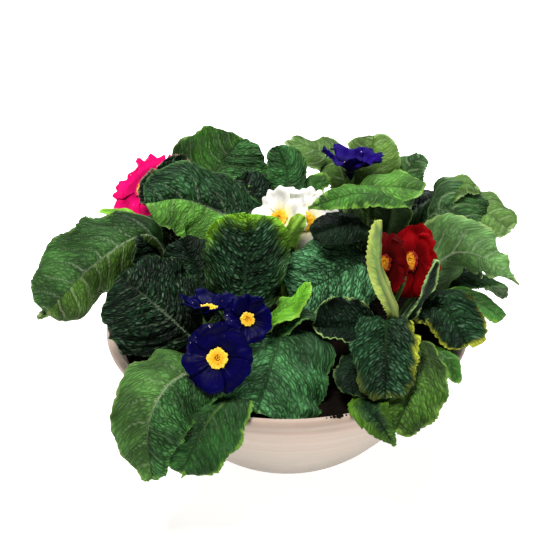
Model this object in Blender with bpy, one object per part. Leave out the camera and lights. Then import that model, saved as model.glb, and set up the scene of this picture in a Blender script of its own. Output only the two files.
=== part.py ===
"""A low round bowl planted with five primroses in bloom.

The bowl stands on the XY plane with the middle of its foot at the origin, +Z up.
-Y is the front of the planting. Sizes below are in millimetres and are turned
into metres where the meshes are made.
"""

import math
from collections import namedtuple

import bpy
import numpy as np

MM = 0.001

# Driving dimensions of the planter
RIM_RADIUS = 125.0
RIM_HEIGHT = 87.0
RIM_THICKNESS = 6.5
COLLAR_HEIGHT = 12.5
COLLAR_TAPER = 4.5
COLLAR_STEP = 0.8
FOOT_RADIUS = 60.0
WALL_CURVE = 1.25
FLOOR_THICKNESS = 6.0
SOIL_HEIGHT = 78.0
SOIL_MOUND = 4.0
BOWL_SIDES = 36
FIT_GAP = 0.3

# The crown of a plant: its root ball stands in a plain hole in the soil
ROOT_RADIUS = 10.0
ROOT_DEPTH = 22.0
CROWN_SIDES = 12
CROWN_RISE = 10.0
STALK_RING = 5.5

# Leaf and petal build
BLADE_THICKNESS = 0.9
LEAF_ROWS = 7
SMALL_LEAF_ROWS = 5
SMALL_LEAF_WIDTH = 35.0
LEAF_COLUMNS = 5
PETAL_ROWS = 3
PETAL_COLUMNS = 5
PETAL_THICKNESS = 0.8
STEM_RADIUS = 1.5
TUBE_RADIUS = 1.9

CROWNS = {
    "pink": (-70, 38),
    "blue": (-42, -45),
    "white": (0, 32),
    "violet": (56, 62),
    "red": (66, -18),
}

# One leaf: the places its midrib passes after the crown, its greatest width, how far
# the blade rolls about the midrib, the fold of its left and right half at the midrib
# and at the margin in degrees, the share of its length that is stalk, and how slender
# its tip is.
FLAT_FOLD = (12, -28)
LEAF_DEFAULTS = (0, FLAT_FOLD, FLAT_FOLD, 0.22, 0.33)
Leaf = namedtuple("Leaf", "path width roll left right stalk tip", defaults=LEAF_DEFAULTS)

LEAVES = {
    "pink": [
        Leaf([(-94, 38, 133), (-130, 14, 126), (-166, -6, 97)], 66, -42, (-30, -90), (0, -15), 0.3),
        Leaf([(-66, 52, 130), (-78, 66, 150), (-93, 79, 165)], 52, -40, (5, -10), (5, 10), tip=0.25),
        Leaf([(-58, 74, 136), (-47, 98, 160), (-32, 116, 172)], 80, left=(10, -15), right=(10, -60),
             stalk=0.42),
        Leaf([(-110, 46, 142), (-131, 52, 146)], 16),
        Leaf([(-95, 72, 108), (-116, 106, 100), (-126, 132, 74)], 52),
        Leaf([(-75, 95, 125), (-82, 130, 115), (-86, 155, 78)], 52),
        Leaf([(-104, 38, 106), (-136, 18, 101), (-172, -7, 93)], 12),
        Leaf([(-90, 42, 112), (-103, 40, 136)], 64),
    ],
    "white": [
        Leaf([(-21, 40, 129), (-66, 36, 162), (-96, 20, 168)], 66, -34, (0, -35), (0, -15), 0.12, 0.45),
        Leaf([(1, 83, 152), (-7, 96, 175)], 31),
        Leaf([(-20, 67, 142), (-33, 78, 160)], 38),
        Leaf([(-22, 72, 143), (-25, 76, 154)], 16),
        Leaf([(-4, 12, 128), (3, 5, 154), (11, 7, 166)], 17),
        Leaf([(16, 84, 141), (31, 90, 152)], 20),
        Leaf([(-20, 95, 131), (-22, 130, 126), (-24, 158, 88)], 54),
        Leaf([(18, 95, 118), (26, 130, 106), (28, 156, 66)], 50),
    ],
    "blue": [
        Leaf([(-71, -52, 114), (-93, -47, 134), (-113, -31, 141)], 76, -40, (-5, -20), (-5, -20), 0.3, 0.48),
        Leaf([(-53, -84, 104), (-76, -112, 107), (-88, -134, 90), (-86, -146, 58)], 57, -18, (6, -24),
             (6, -24), 0.1, 0.6),
        Leaf([(-35, -98, 94), (-50, -127, 91), (-68, -142, 60)], 50, stalk=0.4, tip=0.5),
        Leaf([(-7, -62, 113), (-11, -88, 105), (-20, -115, 88)], 84, left=(12, -24), right=(12, -24),
             stalk=0.25),
        Leaf([(-28, -15, 136), (-27, 8, 166)], 60, left=(10, 0), right=(10, 0)),
        Leaf([(-9, -54, 124), (4, -52, 132), (14, -45, 144)], 30, stalk=0.4),
        Leaf([(2, -55, 121), (17, -50, 125)], 24),
        Leaf([(-55, -12, 114), (-72, 10, 147)], 46),
    ],
    "violet": [
        Leaf([(55, 22, 122), (33, -2, 124), (3, -25, 120)], 60, -40, (0, -25), (0, -15)),
        Leaf([(40, 108, 149), (21, 114, 163), (2, 122, 167)], 34, stalk=0.4),
        Leaf([(62, 108, 152), (64, 126, 169)], 44),
        Leaf([(86, 106, 145), (100, 118, 157)], 30),
        Leaf([(47, 56, 154), (68, 48, 167), (94, 40, 168)], 42, 10, stalk=0.25),
        Leaf([(74, 34, 157), (50, 20, 176), (14, 14, 168)], 34, -10, stalk=0.3, tip=0.85),
        Leaf([(53, 26, 148), (36, 14, 154), (17, 7, 151)], 30, -20),
        Leaf([(98, 42, 145), (117, 42, 150), (136, 34, 132)], 50, 32, stalk=0.45),
        Leaf([(116, 60, 158), (136, 58, 159)], 28, 10),
        Leaf([(110, 60, 140), (137, 52, 145), (156, 38, 138)], 40, 25, stalk=0.5),
        Leaf([(64, 110, 126), (76, 142, 112), (82, 164, 76)], 52),
        Leaf([(95, 100, 121), (120, 125, 116), (138, 142, 84)], 52),
    ],
    "red": [
        Leaf([(104, 8, 128), (129, -4, 141), (157, -15, 124)], 60, 42, (0, -15), (-50, -100), 0.3, 1.25),
        Leaf([(70, -62, 130), (59, -56, 160), (59, -46, 190)], 16, left=(70, 90), right=(15, -10),
             stalk=0.36),
        Leaf([(85, -18, 102), (105, -28, 114), (121, -46, 95)], 42, 30, (12, -20), (22, 0), 0.3),
        Leaf([(116, 0, 106), (133, 0, 101), (149, -6, 92)], 24, 15, stalk=0.5),
        Leaf([(64, -58, 124), (63, -87, 118), (62, -112, 97)], 45),
        Leaf([(84, -52, 104), (84, -88, 102), (68, -124, 80)], 44, stalk=0.35),
        Leaf([(51, -108, 92), (57, -124, 89), (67, -138, 79)], 26, stalk=0.55, tip=0.8),
        Leaf([(101, -55, 96), (114, -72, 83)], 16),
        Leaf([(56, -42, 103), (38, -48, 110), (17, -54, 116)], 42, -36, (25, 40), (20, 30)),
        Leaf([(52, -74, 100), (42, -102, 93)], 38),
        Leaf([(115, 30, 105), (138, 45, 98), (146, 62, 76)], 44),
        Leaf([(80, -50, 120), (90, -54, 141), (96, -50, 163)], 13, 180, (20, 0), (20, 0)),
    ],
}

# One bloom: the middle of its eye, the way it faces, the radius to its petal tips and
# how far its petals rise from flat, in degrees
Bloom = namedtuple("Bloom", "plant place facing radius cup")

BLOOMS = {
    "pink_1": Bloom("pink", (-102, 99, 139), (-0.57, -0.34, 0.76), 30, 6),
    "blue_1": Bloom("blue", (-44, -102, 121), (-0.2, -0.82, 0.5), 24, 15),
    "blue_2": Bloom("blue", (-27, -72, 131), (0.3, -0.7, 0.6), 18, 24),
    "blue_3": Bloom("blue", (-52, -55, 125), (0.05, 0.22, 1.0), 23, 34),
    "white_1": Bloom("white", (-4, 37, 146), (-0.6, -0.5, 0.6), 25, 12),
    "white_2": Bloom("white", (13, 60, 132), (0.1, -0.78, 0.55), 25, 4),
    "violet_1": Bloom("violet", (45, 80, 161), (0.1, 0.2, 0.98), 28, 38),
    "red_1": Bloom("red", (66, -38, 154), (-0.78, -0.52, 0.34), 21, 12),
    "red_2": Bloom("red", (85, -13, 141), (-0.84, -0.46, 0.35), 26, 7),
}
PETALS = 5
EYE_SHARE = 0.29

COLOURS = {
    "bowl": (0.66, 0.58, 0.52, 1),
    "soil": (0.02, 0.014, 0.01, 1),
    "leaves": (0.04, 0.13, 0.045, 1),
    "pink": (0.75, 0.005, 0.13, 1),
    "blue": (0.012, 0.006, 0.12, 1),
    "white": (0.86, 0.84, 0.8, 1),
    "violet": (0.035, 0.01, 0.24, 1),
    "red": (0.42, 0.006, 0.012, 1),
    "eye": (0.85, 0.5, 0.03, 1),
}


def clear_scene():
    for item in list(bpy.data.objects):
        bpy.data.objects.remove(item, do_unlink=True)


def material(name, colour, roughness):
    made = bpy.data.materials.new(name)
    made.use_nodes = True
    shader = made.node_tree.nodes["Principled BSDF"]
    shader.inputs["Base Color"].default_value = colour
    shader.inputs["Roughness"].default_value = roughness
    shader.inputs["Metallic"].default_value = 0.0
    return made


def solid(name, points, faces, finish=None):
    """An object from points in millimetres."""
    mesh = bpy.data.meshes.new(name)
    mesh.from_pydata([tuple(float(c) * MM for c in p) for p in points], [], faces)
    mesh.update()
    item = bpy.data.objects.new(name, mesh)
    bpy.context.scene.collection.objects.link(item)
    if finish is not None:
        mesh.materials.append(finish)
    return item


def apply_modifiers(item):
    evaluated = item.evaluated_get(bpy.context.evaluated_depsgraph_get())
    mesh = bpy.data.meshes.new_from_object(evaluated)
    item.modifiers.clear()
    item.data = mesh


def fuse(name, parts, finish):
    """One body from overlapping closed solids."""
    base = parts[0]
    base.name = name
    others = bpy.data.collections.new(name + "_pieces")
    bpy.context.scene.collection.children.link(others)
    for part in parts[1:]:
        others.objects.link(part)
    join = base.modifiers.new("join", "BOOLEAN")
    join.operation = "UNION"
    join.operand_type = "COLLECTION"
    join.collection = others
    join.solver = "MANIFOLD"
    apply_modifiers(base)
    for part in parts[1:]:
        bpy.data.objects.remove(part, do_unlink=True)
    bpy.data.collections.remove(others)
    base.data.materials.clear()
    base.data.materials.append(finish)
    return base


def lathe(profile, sides):
    """Points and faces of a profile turned about Z; the profile starts and ends on the axis."""
    points = [(0, 0, profile[0][1])]
    for radius, height in profile[1:-1]:
        for k in range(sides):
            turn = 2 * math.pi * k / sides
            points.append((radius * math.cos(turn), radius * math.sin(turn), height))
    points.append((0, 0, profile[-1][1]))
    last = len(points) - 1
    rings = len(profile) - 2
    faces = []
    for k in range(sides):
        after = (k + 1) % sides
        faces.append((0, 1 + k, 1 + after))
        for ring in range(rings - 1):
            low = 1 + ring * sides
            high = low + sides
            faces.append((low + k, high + k, high + after, low + after))
        start = 1 + (rings - 1) * sides
        faces.append((start + k, last, start + after))
    return points, faces


def bowl_outside(steps):
    """The outer wall from the foot up to the step under the collar."""
    top = RIM_HEIGHT - COLLAR_HEIGHT - COLLAR_STEP
    reach = RIM_RADIUS - COLLAR_TAPER - COLLAR_STEP - FOOT_RADIUS
    shares = [k / steps for k in range(steps + 1)]
    return [(FOOT_RADIUS + reach * share, top * share**WALL_CURVE) for share in shares]


def bowl():
    """The planter: a hollow cup with a tapered collar round its rim."""
    inner_rim = RIM_RADIUS - RIM_THICKNESS
    profile = [(0, 0)] + bowl_outside(6)
    profile += [
        (RIM_RADIUS - COLLAR_TAPER, RIM_HEIGHT - COLLAR_HEIGHT),
        (RIM_RADIUS, RIM_HEIGHT - 3.0),
        (RIM_RADIUS - 1.5, RIM_HEIGHT),
        (inner_rim + 1.5, RIM_HEIGHT),
        (inner_rim, RIM_HEIGHT - 1.5),
    ]
    profile += bowl_inside()
    points, faces = lathe(profile, BOWL_SIDES)
    item = solid("bowl", points, faces, material("bowl", COLOURS["bowl"], 0.7))
    flip_outwards(item)
    return item


def bowl_inside():
    """The inner wall from the top of the soil down to the middle of the floor."""
    wall = [(radius - RIM_THICKNESS, height + 1.0) for radius, height in reversed(bowl_outside(5))]
    wall = [point for point in wall if point[1] > FLOOR_THICKNESS + 3]
    wall.append((FOOT_RADIUS - 2, FLOOR_THICKNESS))
    wall.append((0, FLOOR_THICKNESS))
    return wall


def flip_outwards(item):
    """Turns the faces over when the closed mesh is inside out."""
    mesh = item.data
    volume = 0.0
    mesh.calc_loop_triangles()
    for triangle in mesh.loop_triangles:
        a, b, c = (mesh.vertices[i].co for i in triangle.vertices)
        volume += a.dot(b.cross(c))
    if volume < 0:
        mesh.flip_normals()


def soil():
    """The compost that fills the bowl, with a plain hole for each root ball."""
    inside = bowl_inside()
    profile = [(0, FLOOR_THICKNESS + FIT_GAP)]
    for radius, height in reversed(inside[:-1]):
        profile.append((radius - 2 * FIT_GAP, height + FIT_GAP))
    wall_radius, wall_height = inside[0]
    rise = (SOIL_HEIGHT - 2 - wall_height) / (RIM_HEIGHT - wall_height)
    edge = wall_radius + (RIM_RADIUS - RIM_THICKNESS - wall_radius) * rise - 2 * FIT_GAP
    profile.append((edge, SOIL_HEIGHT - 2))
    profile.append((edge - 8, SOIL_HEIGHT))
    profile.append((edge * 0.6, SOIL_HEIGHT + 0.7 * SOIL_MOUND))
    profile.append((0, SOIL_HEIGHT + SOIL_MOUND))
    points, faces = lathe(profile, BOWL_SIDES)
    item = solid("soil", points, faces, material("soil", COLOURS["soil"], 0.95))
    flip_outwards(item)
    for x, y in CROWNS.values():
        low = SOIL_HEIGHT - ROOT_DEPTH - FIT_GAP
        hole = prism(x, y, ROOT_RADIUS + 2 * FIT_GAP, low, SOIL_HEIGHT + 20)
        cut = item.modifiers.new("hole", "BOOLEAN")
        cut.operation = "DIFFERENCE"
        cut.object = hole
        apply_modifiers(item)
        bpy.data.objects.remove(hole, do_unlink=True)
    return item


def prism(x, y, radius, low, high):
    profile = [(0, low), (radius, low), (radius, high), (0, high)]
    points, faces = lathe(profile, CROWN_SIDES)
    item = solid("prism", [(px + x, py + y, pz) for px, py, pz in points], faces)
    flip_outwards(item)
    return item


def unit(vector):
    return vector / np.linalg.norm(vector, axis=-1, keepdims=True)


def smooth_path(places, count):
    """Points evenly spaced along a smooth curve through the places."""
    knots = [np.array(place, float) for place in places]
    knots = [2 * knots[0] - knots[1]] + knots + [2 * knots[-1] - knots[-2]]
    fine = []
    for p0, p1, p2, p3 in zip(knots, knots[1:], knots[2:], knots[3:]):
        t = np.linspace(0, 1, 60)[:, None]
        line = 2 * p1 + (p2 - p0) * t + (2 * p0 - 5 * p1 + 4 * p2 - p3) * t**2
        fine.append(0.5 * (line + (3 * p1 - p0 - 3 * p2 + p3) * t**3))
    points = np.concatenate(fine)
    for _ in range(60):
        points[1:-1] = (points[:-2] + 2 * points[1:-1] + points[2:]) / 4
    steps = np.linalg.norm(np.diff(points, axis=0), axis=1)
    along = np.concatenate([[0], np.cumsum(steps)])
    wanted = count * along[-1]
    return np.stack([np.interp(wanted, along, points[:, axis]) for axis in range(3)], 1)


def half_width(along, stalk, fall):
    """The outline of a primrose leaf: a slim stalk and a broad round blade, 1 at its widest."""
    share = np.clip((along - stalk) / (1 - stalk), 0, 1)
    rise = 0.55
    peak = (rise / (rise + fall)) ** rise * (fall / (rise + fall)) ** fall
    return share**rise * (1 - share) ** fall / peak


def bent(across, inner, outer):
    """A strip that starts at one angle and bends evenly to another: its reach and its rise."""
    bend = outer - inner
    bend = np.where(np.abs(bend) < 1e-3, 1e-3, bend)
    reach = (np.sin(inner + bend * across) - np.sin(inner)) / bend
    rise = -(np.cos(inner + bend * across) - np.cos(inner)) / bend
    return reach, rise


def leaf_surface(leaf, crown, along, across):
    """Places on the middle surface of a leaf, along from 0 to 1 and across from -1 to 1."""
    towards = unit(np.array(leaf.path[0][:2], float) - crown)
    start = np.array((*(crown + STALK_RING * towards), SOIL_HEIGHT + 4))
    places = [start] + list(leaf.path)
    spine = smooth_path(places, along)
    ahead = unit(np.gradient(spine, axis=0))
    middle, tip = (np.array(leaf.path[k][:2], float) - crown for k in (len(leaf.path) // 2, -1))
    heading = unit(tip + 0.5 * middle)
    side = np.array((-heading[1], heading[0], 0))
    side = unit(side - (ahead @ side)[:, None] * ahead)
    up = np.cross(ahead, side)
    roll = math.radians(leaf.roll)
    side, up = side * math.cos(roll) + up * math.sin(roll), up * math.cos(roll) - side * math.sin(roll)
    wide = half_width(along, leaf.stalk, leaf.tip) * leaf.width / 2
    wide = np.maximum(wide, np.where(along < 0.9, 1.2 + 1.8 * np.clip(along / 0.12, 0, 1), 1.5))[:, None]
    opened = np.clip(along / leaf.stalk, 0, 1)[:, None]
    left = across > 0
    inner = np.radians(np.where(left, leaf.left[0], leaf.right[0])) * opened
    outer = np.where(left, leaf.left[1], leaf.right[1])
    phase = leaf.width + np.where(left, 1.9, 0)
    outer = np.radians(outer + 9 * np.sin(2 * math.pi * 2.6 * along[:, None] + phase)) * opened
    reach, rise = bent(np.abs(across)[None, :], inner, outer)
    flat = (np.sign(across) * reach * wide)[..., None] * side[:, None, :]
    return spine[:, None, :] + flat + (rise * wide)[..., None] * up[:, None, :]


def sheet_solid(name, grid, thickness):
    """A closed blade from a grid of places, split alike on both faces."""
    rows, columns = grid.shape[:2]
    du = np.gradient(grid, axis=1)
    dv = np.gradient(grid, axis=0)
    normal = unit(np.cross(dv, du))
    top = (grid + normal * thickness / 2).reshape(-1, 3)
    low = (grid - normal * thickness / 2).reshape(-1, 3)
    count = rows * columns
    faces = []
    for i in range(rows - 1):
        for j in range(columns - 1):
            a = i * columns + j
            b, c, d = a + 1, a + columns + 1, a + columns
            faces += [(a, b, c), (a, c, d)]
            faces += [(count + a, count + c, count + b), (count + a, count + d, count + c)]
    border = [j for j in range(columns)]
    border += [i * columns + columns - 1 for i in range(1, rows)]
    border += [(rows - 1) * columns + j for j in range(columns - 2, -1, -1)]
    border += [i * columns for i in range(rows - 2, 0, -1)]
    for a, b in zip(border, border[1:] + border[:1]):
        faces += [(a, count + a, count + b), (a, count + b, b)]
    item = solid(name, np.concatenate([top, low]), faces)
    flip_outwards(item)
    return item


def leaf_rows(count):
    """Rows close together towards the round tip."""
    share = np.linspace(0, 1, count)
    return 1 - (1 - share) ** 1.35


def leaf_solid(name, leaf, crown):
    rows = LEAF_ROWS if leaf.width > SMALL_LEAF_WIDTH else SMALL_LEAF_ROWS
    grid = leaf_surface(leaf, crown, leaf_rows(rows), np.linspace(-1, 1, LEAF_COLUMNS))
    return sheet_solid(name, grid, BLADE_THICKNESS)


def tube_solid(name, path, radii, sides=6):
    """A closed round stem along a path."""
    path = np.array(path, float)
    ahead = unit(np.gradient(path, axis=0))
    side = np.cross(ahead, (0.31, 0.22, 0.1))
    side = unit(side)
    other = np.cross(ahead, side)
    points = []
    for k, radius in enumerate(radii):
        for s in range(sides):
            turn = 2 * math.pi * s / sides
            points.append(path[k] + radius * (math.cos(turn) * side[k] + math.sin(turn) * other[k]))
    faces = []
    for k in range(len(path) - 1):
        for s in range(sides):
            a = k * sides + s
            b = k * sides + (s + 1) % sides
            faces.append((a, b, b + sides, a + sides))
    faces.append(tuple(reversed(range(sides))))
    faces.append(tuple(range((len(path) - 1) * sides, len(path) * sides)))
    item = solid(name, points, faces)
    flip_outwards(item)
    return item


def stem_solid(name, bloom, crown):
    """The flower stalk, swelling into the calyx under the bloom."""
    facing = unit(np.array(bloom.facing, float))
    head = np.array(bloom.place, float)
    below = head - facing * 9
    far = head - facing * 15 - np.array((0, 0, 12))
    start = np.array((crown[0], crown[1], SOIL_HEIGHT + 4), float)
    middle = start * 0.5 + far * 0.5 + np.array((0, 0, 4))
    path = smooth_path([start, middle, far], np.array([0, 0.3, 0.6, 0.85, 1.0]))
    path = np.concatenate([path, [head - facing * 13, below]])
    radii = [STEM_RADIUS] * 5 + [2.6, 3.2]
    return tube_solid(name, path, radii)


def frame_of(facing):
    facing = unit(np.array(facing, float))
    side = unit(np.cross(facing, (0.13, 0.21, 1.0)))
    return facing, side, np.cross(facing, side)


def petal_grid(bloom, number, rows, columns):
    """Places on one petal: narrow at the tube, broad and notched at its tip."""
    facing, side, other = frame_of(bloom.facing)
    along = np.linspace(0, 1, rows)[:, None]
    across = np.linspace(-1, 1, columns)[None, :]
    spread = math.radians(49) * (0.86 + 0.14 * np.sin(math.pi * along))
    notch = 0.07 * np.exp(-((across / 0.25) ** 2)) + 0.10 * np.abs(across) ** 4
    radius = 2.5 + (bloom.radius * (1 - notch) - 2.5) * along
    turn = 2 * math.pi * number / PETALS + across * spread
    height = math.sin(math.radians(bloom.cup)) * radius
    height = height + 2.2 * across * along + 0.6 * np.sin(5 * across + number) * along**2
    height = height - 3.0 * along**3
    radius = math.cos(math.radians(bloom.cup)) * radius
    flat = radius * np.cos(turn), radius * np.sin(turn)
    place = np.array(bloom.place, float)
    grid = place + flat[0][..., None] * side + flat[1][..., None] * other
    return grid + height[..., None] * facing


def bloom_solid(name, bloom, finish):
    facing = unit(np.array(bloom.facing, float))
    head = np.array(bloom.place, float)
    mouth = 0.6 + 3.4 * math.sin(math.radians(bloom.cup))
    tube = [head - facing * 8.6, head - facing * 3, head + facing * mouth]
    parts = [tube_solid(name, tube, [TUBE_RADIUS, 2.2, 4.2], 8)]
    for number in range(PETALS):
        grid = petal_grid(bloom, number, PETAL_ROWS, PETAL_COLUMNS)
        parts.append(sheet_solid(f"{name}_{number}", grid, PETAL_THICKNESS))
    return fuse(name, parts, finish)


def eye_solid(name, bloom, finish):
    """The raised yellow star at the middle, just clear of the petals."""
    facing, side, other = frame_of(bloom.facing)
    reach = bloom.radius * EYE_SHARE
    cup = math.radians(bloom.cup)
    points = []
    rings = ((0.3, 1.6), (1.0, 3.4), (0.25, 3.6))
    count = 3 * PETALS
    for share, height in rings:
        for k in range(count):
            turn = 2 * math.pi * k / count
            radius = reach * share * (1 + 0.035 * math.cos(PETALS * turn))
            rise = height + math.sin(cup) * radius
            radius = math.cos(cup) * radius
            place = radius * (math.cos(turn) * side + math.sin(turn) * other) + rise * facing
            points.append(np.array(bloom.place, float) + place)
    faces = []
    for ring in range(len(rings) - 1):
        for k in range(count):
            a = ring * count + k
            b = ring * count + (k + 1) % count
            faces.append((a, b, b + count, a + count))
    faces.append(tuple(reversed(range(count))))
    faces.append(tuple(range((len(rings) - 1) * count, len(rings) * count)))
    item = solid(name, points, faces, finish)
    flip_outwards(item)
    return item


def rosette(plant, finish):
    """A plant's crown, leaves and flower stalks as one body."""
    crown = CROWNS[plant]
    parts = [prism(*crown, ROOT_RADIUS, SOIL_HEIGHT - ROOT_DEPTH, SOIL_HEIGHT + CROWN_RISE)]
    for number, leaf in enumerate(LEAVES[plant]):
        parts.append(leaf_solid(f"{plant}_leaf_{number}", leaf, crown))
    for name, bloom in BLOOMS.items():
        if bloom.plant == plant:
            parts.append(stem_solid(f"stem_{name}", bloom, crown))
    return fuse(f"leaves_{plant}", parts, finish)


def main():
    clear_scene()
    bowl()
    soil()
    green = material("leaves", COLOURS["leaves"], 0.55)
    yellow = material("eye", COLOURS["eye"], 0.6)
    for plant in CROWNS:
        rosette(plant, green)
    for name, bloom in BLOOMS.items():
        petals = material(f"petals_{name}", COLOURS[bloom.plant], 0.6)
        bloom_solid(f"petals_{name}", bloom, petals)
        eye_solid(f"eye_{name}", bloom, yellow)


main()
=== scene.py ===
"""The looks of a low round bowl planted with five primroses in bloom.

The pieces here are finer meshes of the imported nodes, in the same places: the bowl stands
on z = 0 with the middle of its foot at the origin, and -Y is the front of the planting.
Sizes are in millimetres and are turned into metres where the meshes are made.
"""

import math
from collections import namedtuple

import bpy
import numpy as np
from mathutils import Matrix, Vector


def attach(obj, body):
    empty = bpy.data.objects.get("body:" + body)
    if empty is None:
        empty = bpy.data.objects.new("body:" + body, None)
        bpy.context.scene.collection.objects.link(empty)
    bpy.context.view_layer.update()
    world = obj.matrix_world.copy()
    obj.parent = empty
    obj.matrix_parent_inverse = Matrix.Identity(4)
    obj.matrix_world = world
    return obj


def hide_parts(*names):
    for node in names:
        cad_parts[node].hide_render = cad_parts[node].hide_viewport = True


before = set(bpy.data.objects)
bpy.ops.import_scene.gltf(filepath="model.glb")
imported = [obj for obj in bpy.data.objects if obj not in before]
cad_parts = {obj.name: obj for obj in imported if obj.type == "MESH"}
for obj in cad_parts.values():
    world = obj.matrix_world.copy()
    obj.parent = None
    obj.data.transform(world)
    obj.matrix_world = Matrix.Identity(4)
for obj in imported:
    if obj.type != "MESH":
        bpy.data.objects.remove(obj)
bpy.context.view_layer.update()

MM = 0.001

# The planter and its compost, as in the part
RIM_RADIUS = 125.0
RIM_HEIGHT = 87.0
RIM_THICKNESS = 6.5
COLLAR_HEIGHT = 12.5
COLLAR_TAPER = 4.5
COLLAR_STEP = 0.8
FOOT_RADIUS = 60.0
WALL_CURVE = 1.25
FLOOR_THICKNESS = 6.0
SOIL_HEIGHT = 78.0
SOIL_MOUND = 4.0
ROOT_RADIUS = 10.0
CROWN_RISE = 10.0
STALK_RING = 5.5

# The leaves: how thick they are, how far and how often their margins swing, how far
# apart and how deep their teeth are, how wide their side veins are, and how long the
# wrinkles between these and the waves of the whole blade are
BLADE_THICKNESS = 0.55
MARGIN_SWING_DEGREES = 9
MARGIN_SWINGS = 2.6
TOOTH_SPACING = 3.3
TOOTH_DEPTH = 1.9
VEIN_WIDTH = 0.8
WRINKLE_LENGTH = 5.5
BLADE_WAVE = 26

# The blooms: how many petals each has, half the angle that one takes, how thick it is,
# the radius of the throat and the eye's share of the bloom's radius
PETALS = 5
PETAL_SPREAD_DEGREES = 49
PETAL_THICKNESS = 0.45
THROAT_RADIUS = 2.5
EYE_SHARE = 0.29

# Fineness of the meshes
BOWL_SIDES = 144
SOIL_SIDES = 220
SOIL_RINGS = 66
CRUMBS = 420
LEAF_STEP = 1.0
LEAF_ROWS = (26, 84)
LEAF_HALF_COLUMNS = (8, 31)
STALK_ROWS = 9
STEM_ROWS = 28
CALYX_SIDES = 40
PETAL_ROWS = 26
PETAL_COLUMNS = 29
EYE_SIDES = 96

# The view: the place looked at in millimetres, the distance in metres, and the
# photograph's frame and focal length in pixels
VIEW_TARGET = (-7.3, 0.0, 121.9)
VIEW_DISTANCE = 1.2
VIEW_ELEVATION = math.radians(30)
FRAME_PIXELS = 553
FOCAL_PIXELS = 1754
SENSOR = 36.0

# Crumbs on the front of the bowl's rim: the pixel of each across the frame and its size,
# and how many pixels a millimetre takes there
RIM_CRUMBS = ((329, 1.3), (333, 1.9), (336, 1.1), (326, 0.8), (340, 0.7), (322, 0.6))
RIM_PIXELS_PER_MM = 1.43

CROWNS = {
    "pink": (-70, 38),
    "blue": (-42, -45),
    "white": (0, 32),
    "violet": (56, 62),
    "red": (66, -18),
}

# One leaf: the places its midrib passes after the crown, its greatest width, how far
# the blade rolls about the midrib, the fold of its left and right half at the midrib
# and at the margin in degrees, the share of its length that is stalk, how slender its
# tip is, the looks of its left and right half, and how much of the margin's colour its
# left side, its right side and its tip have.
Leaf = namedtuple("Leaf", "path width roll left right stalk tip look other rim")
Leaf.__new__.__defaults__ = (0, (12, -28), (12, -28), 0.22, 0.33, "mid", None, (1, 1, 1))

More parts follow.
